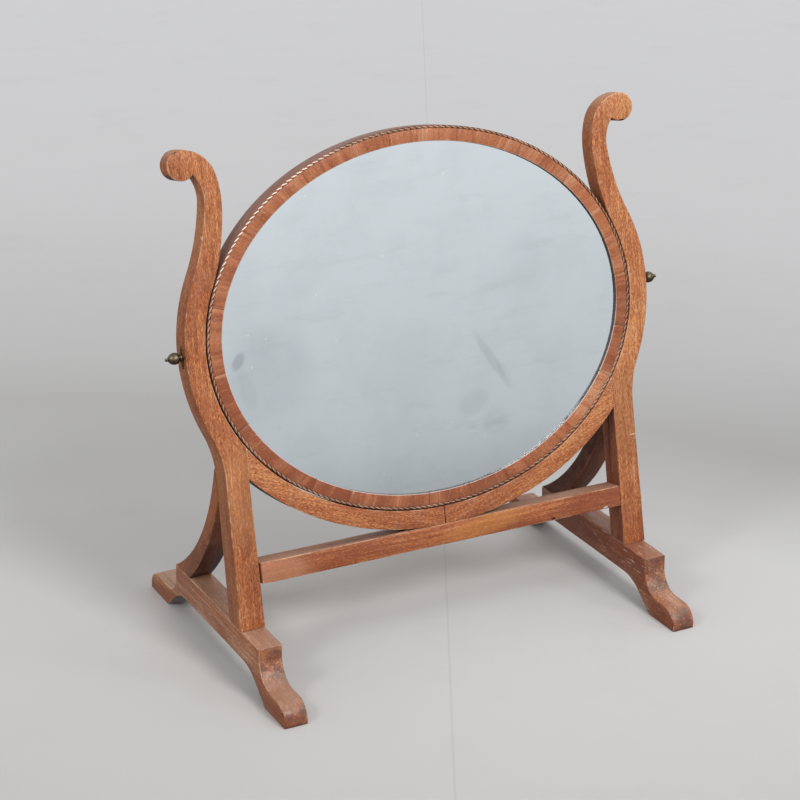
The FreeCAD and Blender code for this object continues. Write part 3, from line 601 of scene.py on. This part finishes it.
def silvering():
    """Old mirror plate: clear silver with a faint haze, wiped smudges and a few bright specks."""
    material, t, shader, vector = start_oval("silvered_plate")
    haze = t.span(t.noise(vector, 14, 4, 0.6), 0.42, 0.66)
    wipes = t.span(t.noise(t.shift(vector, (3, 0, 1)), 34, 5, 0.7, (0.35, 1, 1.8)), 0.5, 0.75)
    dim = t.plus(t.times(haze, 0.07), t.times(wipes, 0.07))
    for centre, radii, turn, strength in GLASS_SMUDGES:
        dim = t.plus(dim, t.times(spot(t, vector, centre, radii, turn, SMUDGE_DEPTH), strength))
    cell = t.add("ShaderNodeTexVoronoi", {"Vector": vector, "Scale": 55.0}, feature="F1")
    chosen = t.add("ShaderNodeSeparateColor", {0: cell.outputs["Color"]}).outputs[0]
    speck = t.times(t.span(cell.outputs["Distance"], 0.09, 0.04), t.math("GREATER_THAN", chosen, 0.7))
    shade = t.mix(dim, colours().silver, SMEARED)
    t.feed(shader.inputs["Base Color"], t.mix(speck, shade, BRIGHT_SPECK))
    t.feed(shader.inputs["Roughness"], t.plus(t.times(wipes, 0.1), 0.03))
    shader.inputs["Metallic"].default_value = 1
    return material


def strand(name, tones, faded, fading):
    """Wood of the stringing, painted lighter over the upper left of the oval as a painted highlight."""
    material, t, shader, vector = start_oval(name)
    wood = figured(t, vector, tones, Patch_size=30.0, Patches=3.0)
    turn = group(t, "Round the oval", Vector=vector)["Turn"]
    # Painted highlight: the wood is mixed towards a lighter tone over the upper left of the oval.
    there = t.times(t.span(turn, 0.28, 0.34), t.span(turn, 0.47, 0.41))
    t.feed(shader.inputs["Base Color"], t.mix(t.times(there, fading), wood["Color"], faded))
    shader.inputs["Roughness"].default_value = 0.5
    bump(t, shader, wood["Height"], 0.05 * MM, 0.5)
    return material


def metal(name):
    """Old handled metal: bright where it is rubbed, dull and dark where dirt stays."""
    clean, dirt, roughness, share = METALS[name]
    material, t, shader, vector = start_material(name)
    cloud = t.noise(vector, 170, 4, 0.6)
    spots = t.span(t.noise(t.shift(vector, (2, 5, 1)), 900, 2, 0.6), 0.5, 0.68)
    dull = t.times(t.math("MAXIMUM", t.span(cloud, 0.4, 0.66), t.times(spots, 0.7)), share)
    t.feed(shader.inputs["Base Color"], t.mix(dull, getattr(colours(), clean), dirt))
    t.feed(shader.inputs["Roughness"], t.plus(t.times(dull, 0.3), roughness))
    shader.inputs["Metallic"].default_value = 1
    bump(t, shader, cloud, 0.1 * MM, 0.3)
    return material


def smooth(obj):
    obj.data.polygons.foreach_set("use_smooth", [True] * len(obj.data.polygons))
    obj.data.update()


def dress(node, materials, arris=None):
    """Give a node its material, and a rounded arris of the last material where it has one."""
    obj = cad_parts[node]
    obj.data.materials.clear()
    for material in materials:
        obj.data.materials.append(material)
    if arris:
        weld = obj.modifiers.new("Weld", "WELD")
        weld.merge_threshold = WELD
        bevel = obj.modifiers.new("Arris", "BEVEL")
        bevel.width = arris
        bevel.segments = 2
        bevel.limit_method = "ANGLE"
        bevel.angle_limit = SHARP
        bevel.use_clamp_overlap = False
        bevel.material = len(materials) - 1
        smooth(obj)
    return obj


def pair(node, turn, tones, arris, wear_and_highlight, **look):
    """Give a node its timber, with the same timber painted pale on its arrises: partly rubbed bare wood and
    partly a painted highlight.
    """
    dress(node, [timber(node, turn, tones, **look), timber(node + "_arris", turn, tones, wear_and_highlight=wear_and_highlight, **look)],
          arris=arris)


# --- geometry nodes -----------------------------------------------------------------------------------

def stringing_tree(dark, light, values):
    """Light slanted strands laid round an oval, over a dark strip that fills the corner of the frame."""
    tree = bpy.data.node_groups.new("Edge stringing", "GeometryNodeTree")
    sockets = {}
    for name, value in values.items():
        kind = "NodeSocketInt" if isinstance(value, int) else "NodeSocketFloat"
        sockets[name] = tree.interface.new_socket(name, in_out="INPUT", socket_type=kind)
        sockets[name].default_value = value
    tree.interface.new_socket("Geometry", in_out="OUTPUT", socket_type="NodeSocketGeometry")
    t = Tree(tree)
    ins = tree.nodes.new("NodeGroupInput").outputs
    out = tree.nodes.new("NodeGroupOutput").inputs

    circle = t.add("GeometryNodeCurvePrimitiveCircle", {"Resolution": STRIP_STEPS, "Radius": 1.0})
    scale = t.vector(ins["Half width"], ins["Half height"], 1.0)
    oval = t.add("GeometryNodeTransform", {"Geometry": circle, "Scale": scale})
    profile = t.add("GeometryNodeCurvePrimitiveQuadrilateral", {"Width": ins["Strip width"],
                                                                 "Height": ins["Depth"]})
    strip = t.add("GeometryNodeCurveToMesh", {"Curve": oval, "Profile Curve": profile})
    strip = t.add("GeometryNodeSetMaterial", {"Geometry": strip, "Material": dark})

    spots = t.add("GeometryNodeCurveToPoints", {"Curve": oval, "Count": ins["Strands"]}, mode="COUNT")
    run = t.axes(spots.outputs["Tangent"])
    heading = t.math("SUBTRACT", t.math("ARCTAN2", run[1], run[0]), ins["Strand slant"])
    turned = t.add("FunctionNodeEulerToRotation", {"Euler": t.vector(0.0, 0.0, heading)})
    strand = t.add("GeometryNodeMeshCylinder", {"Vertices": STRAND_SIDES, "Radius": 0.5, "Depth": 1.0})
    size = t.vector(ins["Strand length"], ins["Strand width"], t.plus(ins["Depth"], ins["Proud"]))
    strand = t.add("GeometryNodeTransform", {"Geometry": strand, "Scale": size})
    laid = t.add("GeometryNodeInstanceOnPoints", {"Points": spots.outputs["Points"], "Instance": strand,
                                                  "Rotation": turned})

    joined = t.add("GeometryNodeJoinGeometry")
    for part in (strip, laid):
        tree.links.new(part.outputs[0], joined.inputs[0])
    solid = t.add("GeometryNodeRealizeInstances", {"Geometry": joined})
    stained = t.add("GeometryNodeMaterialSelection", {"Material": dark})
    pale = t.add("FunctionNodeBooleanMath", {0: stained}, operation="NOT")
    t.feed(out["Geometry"], t.add("GeometryNodeSetMaterial", {"Geometry": solid, "Selection": pale,
                                                              "Material": light}))
    return tree, sockets


def settle(name, tree, sockets, values, place):
    """Run a geometry tree and keep its result as a plain mesh in its place."""
    holder = bpy.data.objects.new(name + "_tree", bpy.data.meshes.new(name + "_tree"))
    bpy.context.scene.collection.objects.link(holder)
    modifier = holder.modifiers.new("Tree", "NODES")
    modifier.node_group = tree
    for key, value in values.items():
        modifier[sockets[key].identifier] = value
    shown = holder.evaluated_get(bpy.context.evaluated_depsgraph_get())
    mesh = bpy.data.meshes.new_from_object(shown)
    bpy.data.objects.remove(holder)
    drop_empty_slots(mesh)
    mesh.transform(place)
    mesh.name = name
    obj = bpy.data.objects.new(name, mesh)
    bpy.context.scene.collection.objects.link(obj)
    smooth(obj)
    return obj


def drop_empty_slots(mesh):
    """Keep only the slots that hold a material, each face with the material it had."""
    slots = [0] * len(mesh.polygons)
    mesh.polygons.foreach_get("material_index", slots)
    given = [mesh.materials[slot] for slot in slots]
    used = [material for material in mesh.materials if material]
    mesh.materials.clear()
    for material in used:
        mesh.materials.append(material)
    mesh.polygons.foreach_set("material_index", [used.index(material) for material in given])


# --- operators ----------------------------------------------------------------------------------------

class MIRROR_OT_stand(bpy.types.Operator):
    """Finish the uprights, crescents, stretcher and braces of the stand"""
    bl_idname = "mirror.stand"
    bl_label = "Stand timber"

    def execute(self, context):
        c, s = colours(), sizes()
        stand, behind = (c.umber, c.russet, c.golden), (c.pore, c.brace, c.foot)
        # Painted shade: each upright and brace is darkened on its inner side, where the mirror shades it, and
        # the uprights a little on the sides that face left.
        for side, inner, fading in (("left", "Unfaded_right", -0.02), ("right", "Unfaded_left", 0.2)):
            age = {"Scuffs": 0.12, "Scratches": 0.25, "Unfaded_left": 0.4, inner: 0.95}
            pair("upright_" + side, grain(LEANING), stand, s.arris, 0.34, spots=POST_MARKS[side],
                 fading=fading, age=age, Patches=1.9, Streaks=1.05, Flecks=2.4)
            pair("brace_" + side, grain(("X", 38)), behind, s.arris, 0.08, age={"Scuffs": 0.2, inner: 0.95})
            pair("crescent_" + side, grain(LEANING, ("Y", 70)), stand, s.rail_arris, 0.45, fold=True,
                 butt=True, log=(0.31, 0.2, 0), Patches=1.1, Flecks=2.8, Level=0.4)
        pair("stretcher", grain(("Y", 90)), stand, s.arris, 0.35, spots=RAIL_MARKS,
             age={"Scuffs": 0.08, "Dusting": 0.5, "Scratches": 0.2}, Patch_size=16.0, Patches=1.7, Level=0.33)
        peg = plain_board("dowel_end", (c.pore, c.foot, c.foot_light), grain(("Y", 90)))
        for node in ("rail_dowels", "brace_dowels"):
            dress(node, [peg])
        return {"FINISHED"}


class MIRROR_OT_feet(bpy.types.Operator):
    """Finish the two moulded feet, scuffed and dusty"""
    bl_idname = "mirror.feet"
    bl_label = "Feet"

    def execute(self, context):
        c, s = colours(), sizes()
        tones = (c.umber, c.foot, c.foot_light)
        # Painted shade: each foot is darkened on its inner side.
        for side, inner, dusting, level in (("left", "Unfaded_right", 0.5, 0.52),
                                            ("right", "Unfaded_left", 0.2, 0.28)):
            age = {"Scuffs": 0.1, "Dusting": dusting, "Polish": 0.3, "Grime": 0.75, "Scratches": 0.9,
                   inner: 0.55}
            pair("foot_" + side, grain(("X", -90)), tones, s.arris, 0.3, sheen=0.45, age=age, Level=level,
                 Streaks=1.5, Patch_size=30.0, Patches=2.0, Flecks=2.4)
        return {"FINISHED"}


class MIRROR_OT_frame(bpy.types.Operator):
    """Finish the oval frame and its crossbanding"""
    bl_idname = "mirror.frame"
    bl_label = "Swing frame"

    def execute(self, context):
        smooth(dress("mirror_frame", [frame_edge()]))
        dress("crossband_veneer", [banding("crossbanding"), banding("crossbanding_rim", rim=True)],
              arris=BAND_ARRIS)
        return {"FINISHED"}


class MIRROR_OT_stringing(bpy.types.Operator):
    """Lay the slanted light and dark stringing round the front edge of the frame"""
    bl_idname = "mirror.stringing"
    bl_label = "Edge stringing"

    def execute(self, context):
        c, s = colours(), sizes()
        dark = strand("dark_strand", (c.ebony, c.ebony, c.core), c.foot, DARK_STRAND_HIGHLIGHT)
        light = strand("light_strand", (c.band, c.holly, c.band_light), HIGHLIT_HOLLY, LIGHT_STRAND_HIGHLIGHT)
        values = {"Half width": EDGE.x - STRIP_INSET, "Half height": EDGE.y - STRIP_INSET,
                  "Depth": STRIP_DEPTH, "Proud": STRAND_PROUD, "Strip width": STRIP_WIDTH,
                  "Strand length": s.strand_length, "Strand width": STRAND_WIDTH,
                  "Strand slant": s.strand_slant, "Strands": s.strands}
        tree, sockets = stringing_tree(dark, light, values)
        place = (Matrix.Translation(leaning(0, STRIP_BACK, OVAL_UP))
                 @ Matrix.Rotation(math.pi / 2 - RAKE, 4, "X"))
        obj = settle("edge_stringing_laid", tree, sockets, values, place)
        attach(obj, "mirror")
        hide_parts("edge_stringing")
        return {"FINISHED"}


class MIRROR_OT_plate(bpy.types.Operator):
    """Silver the oval plate"""
    bl_idname = "mirror.plate"
    bl_label = "Mirror plate"

    def execute(self, context):
        dress("mirror_glass", [silvering()])
        return {"FINISHED"}


class MIRROR_OT_metalwork(bpy.types.Operator):
    """Finish the knobs, plates, bushes, screws and washers"""
    bl_idname = "mirror.metalwork"
    bl_label = "Metalwork"

    def execute(self, context):
        bronze, brass, steel = (metal(name) for name in METALS)
        for side in ("left", "right"):
            for piece, material in (("knob", bronze), ("escutcheon", brass), ("pivot_bush", brass),
                                    ("nut_plate", brass), ("pivot_washer", steel), ("pivot_screw", steel)):
                smooth(dress(piece + "_" + side, [material]))
        for node, material in (("escutcheon_pins", brass), ("nut_plate_screws", steel),
                               ("backboard_screws", steel)):
            smooth(dress(node, [material]))
        return {"FINISHED"}


class MIRROR_OT_back(bpy.types.Operator):
    """Finish the board and the glazing blocks behind the glass"""
    bl_idname = "mirror.back"
    bl_label = "Back of the frame"

    def execute(self, context):
        bare = (BOARD_DARK, colours().pine, BOARD_LIGHT)
        dress("backboard", [plain_board("back_board", bare, grain(LEANING, ("Y", 90)), Patches=0.9,
                                        Streaks=2.0, Flecks=0.8, Pores=0.2)])
        dress("glazing_blocks", [plain_board("blocks", bare, grain(LEANING))])
        return {"FINISHED"}


class MIRROR_OT_studio(bpy.types.Operator):
    """Set the floor, the soft light and the camera"""
    bl_idname = "mirror.studio"
    bl_label = "Studio"

    def execute(self, context):
        scene = bpy.context.scene
        studio = scene.mirror_studio
        scene.view_settings.view_transform = "Standard"
        self.floor(studio.heading)
        self.world(studio.room)
        for name, place, aim, width in LAMPS:
            self.lamp(name, place, aim, width, getattr(studio, name.lower()))
        camera = bpy.data.cameras.new("Camera")
        camera.lens, camera.sensor_width, camera.clip_end = studio.focal, SENSOR, CAMERA_REACH
        eye = bpy.data.objects.new("Camera", camera)
        eye.matrix_world = (Matrix.Translation(studio.eye) @ Matrix.Rotation(studio.heading, 4, "Z")
                            @ Matrix.Rotation(math.pi / 2 - studio.drop, 4, "X"))
        scene.collection.objects.link(eye)
        scene.camera = eye
        return {"FINISHED"}

    def floor(self, heading):
        """A pale round floor with a painted shadow: its tone dips a little way behind the mirror, where the
        mirror's shadow is painted, and lifts again further back as that painted shadow fades.
        """
        mesh = bpy.data.meshes.new("floor")
        builder = bmesh.new()
        bmesh.ops.create_circle(builder, cap_ends=True, segments=96, radius=FLOOR_RADIUS)
        builder.to_mesh(mesh)
        builder.free()
        floor = bpy.data.objects.new("floor", mesh)
        bpy.context.scene.collection.objects.link(floor)
        floor.visible_glossy = False

        material, t, shader, vector = start_material("studio_floor", (0, 0, heading))
        x, y, _ = t.axes(vector)
        # The edge of the painted shadow comes nearer the mirror towards the right.
        shadow_bend = t.times(t.span(x, 0, 0.7, 0, 0.28), t.span(y, -0.15, 0.1))
        tone = t.ramp(t.span(t.plus(y, shadow_bend), *FLOOR_REACH, ease="LINEAR"), FLOOR_TONES_AND_SHADOW)
        seam = t.span(t.math("ABSOLUTE", t.math("SUBTRACT", x, SEAM_ASIDE)), 1.6 * MM, 0.4 * MM, 0, 0.12)
        stains = t.span(t.noise(vector, 7, 5, 0.7), 0.5, 0.75, 0, 0.05)
        shade = t.mix(t.plus(stains, seam), tone, FLOOR_STAIN)
        t.feed(shader.inputs["Base Color"], shade)
        shader.inputs["Roughness"].default_value = 0.9
        shader.inputs["Specular IOR Level"].default_value = 0.1

        # Away from the mirror the camera sees an even glow, so that the floor runs into the background;
        # behind the mirror this glow still carries the painted shadow of the floor's tone.
        reach = t.length(vector)
        beside = t.math("MAXIMUM", t.span(y, -0.3, -0.9), t.span(t.math("ABSOLUTE", x), 1.2, 2.4))
        afar = t.mix(t.span(reach, 3.5, 9), t.mix(beside, shade, BESIDE), BACKDROP)
        glow = t.add("ShaderNodeEmission", {"Color": afar, "Strength": 1.0})
        seen = t.math("MAXIMUM", t.span(y, 0.25, 0.75), t.span(reach, 0.9, 1.8))
        seen = t.times(t.add("ShaderNodeLightPath").outputs["Is Camera Ray"], seen)
        either = t.add("ShaderNodeMixShader", {0: seen, 1: shader, 2: glow})
        t.feed(t.tree.nodes["Material Output"].inputs["Surface"], either)
        mesh.materials.append(material)

    def world(self, room):
        """Even room light, with its own tones for the background and for what polished surfaces mirror."""
        world = bpy.data.worlds.new("Room")
        bpy.context.scene.world = world
        world.use_nodes = True
        t = Tree(world.node_tree)
        t.tree.nodes.clear()
        ray = t.add("ShaderNodeLightPath")
        up = t.axes(t.add("ShaderNodeTexCoord").outputs["Generated"])[2]
        mirrored = t.ramp(t.span(up, *MIRRORED_REACH, ease="LINEAR"), MIRRORED_TONES)
        even = t.add("ShaderNodeBackground", {"Color": (1, 1, 1), "Strength": room})
        glossy = t.add("ShaderNodeBackground", {"Color": mirrored, "Strength": 1.0})
        pale = t.add("ShaderNodeBackground", {"Color": BACKDROP, "Strength": 1.0})
        either = t.add("ShaderNodeMixShader", {0: ray.outputs["Is Glossy Ray"], 1: even, 2: glossy})
        either = t.add("ShaderNodeMixShader", {0: ray.outputs["Is Camera Ray"], 1: either, 2: pale})
        t.add("ShaderNodeOutputWorld", {"Surface": either})

    def lamp(self, name, place, aim, width, energy):
        light = bpy.data.lights.new(name, "AREA")
        light.energy, light.size, light.shape = energy, width, "DISK"
        obj = bpy.data.objects.new(name, light)
        obj.location = place
        obj.rotation_euler = (Vector(aim) - Vector(place)).to_track_quat("-Z", "Y").to_euler()
        bpy.context.scene.collection.objects.link(obj)


class MIRROR_PT_pieces(bpy.types.Panel):
    """Lists the pieces in the order in which they are made"""
    bl_idname = "MIRROR_PT_pieces"
    bl_label = "Swinging mirror"
    bl_space_type = "VIEW_3D"
    bl_region_type = "UI"
    bl_category = "Mirror"

    def draw(self, context):
        for operator in OPERATORS:
            self.layout.operator(operator.bl_idname, text=operator.bl_label)
        for held_name, _ in PROPERTY_GROUPS:
            held = getattr(context.scene, held_name)
            for key in held.bl_rna.properties.keys():
                if key not in ("rna_type", "name"):
                    self.layout.prop(held, key)


OPERATORS = (MIRROR_OT_stand, MIRROR_OT_feet, MIRROR_OT_frame, MIRROR_OT_stringing, MIRROR_OT_plate,
             MIRROR_OT_metalwork, MIRROR_OT_back, MIRROR_OT_studio)
PROPERTY_GROUPS = (("mirror_sizes", MIRROR_PG_sizes), ("mirror_colours", MIRROR_PG_colours),
                   ("mirror_studio", MIRROR_PG_studio))


def register():
    for name, group_class in PROPERTY_GROUPS:
        bpy.utils.register_class(group_class)
        setattr(bpy.types.Scene, name, PointerProperty(type=group_class))
    for cls in (*OPERATORS, MIRROR_PT_pieces):
        bpy.utils.register_class(cls)


def unregister():
    for cls in (MIRROR_PT_pieces, *reversed(OPERATORS)):
        bpy.utils.unregister_class(cls)
    for name, group_class in reversed(PROPERTY_GROUPS):
        delattr(bpy.types.Scene, name)
        bpy.utils.unregister_class(group_class)


def main():
    register()
    for operator in OPERATORS:
        family, _, action = operator.bl_idname.partition(".")
        getattr(getattr(bpy.ops, family), action)()


if __name__ == "__main__":
    main()
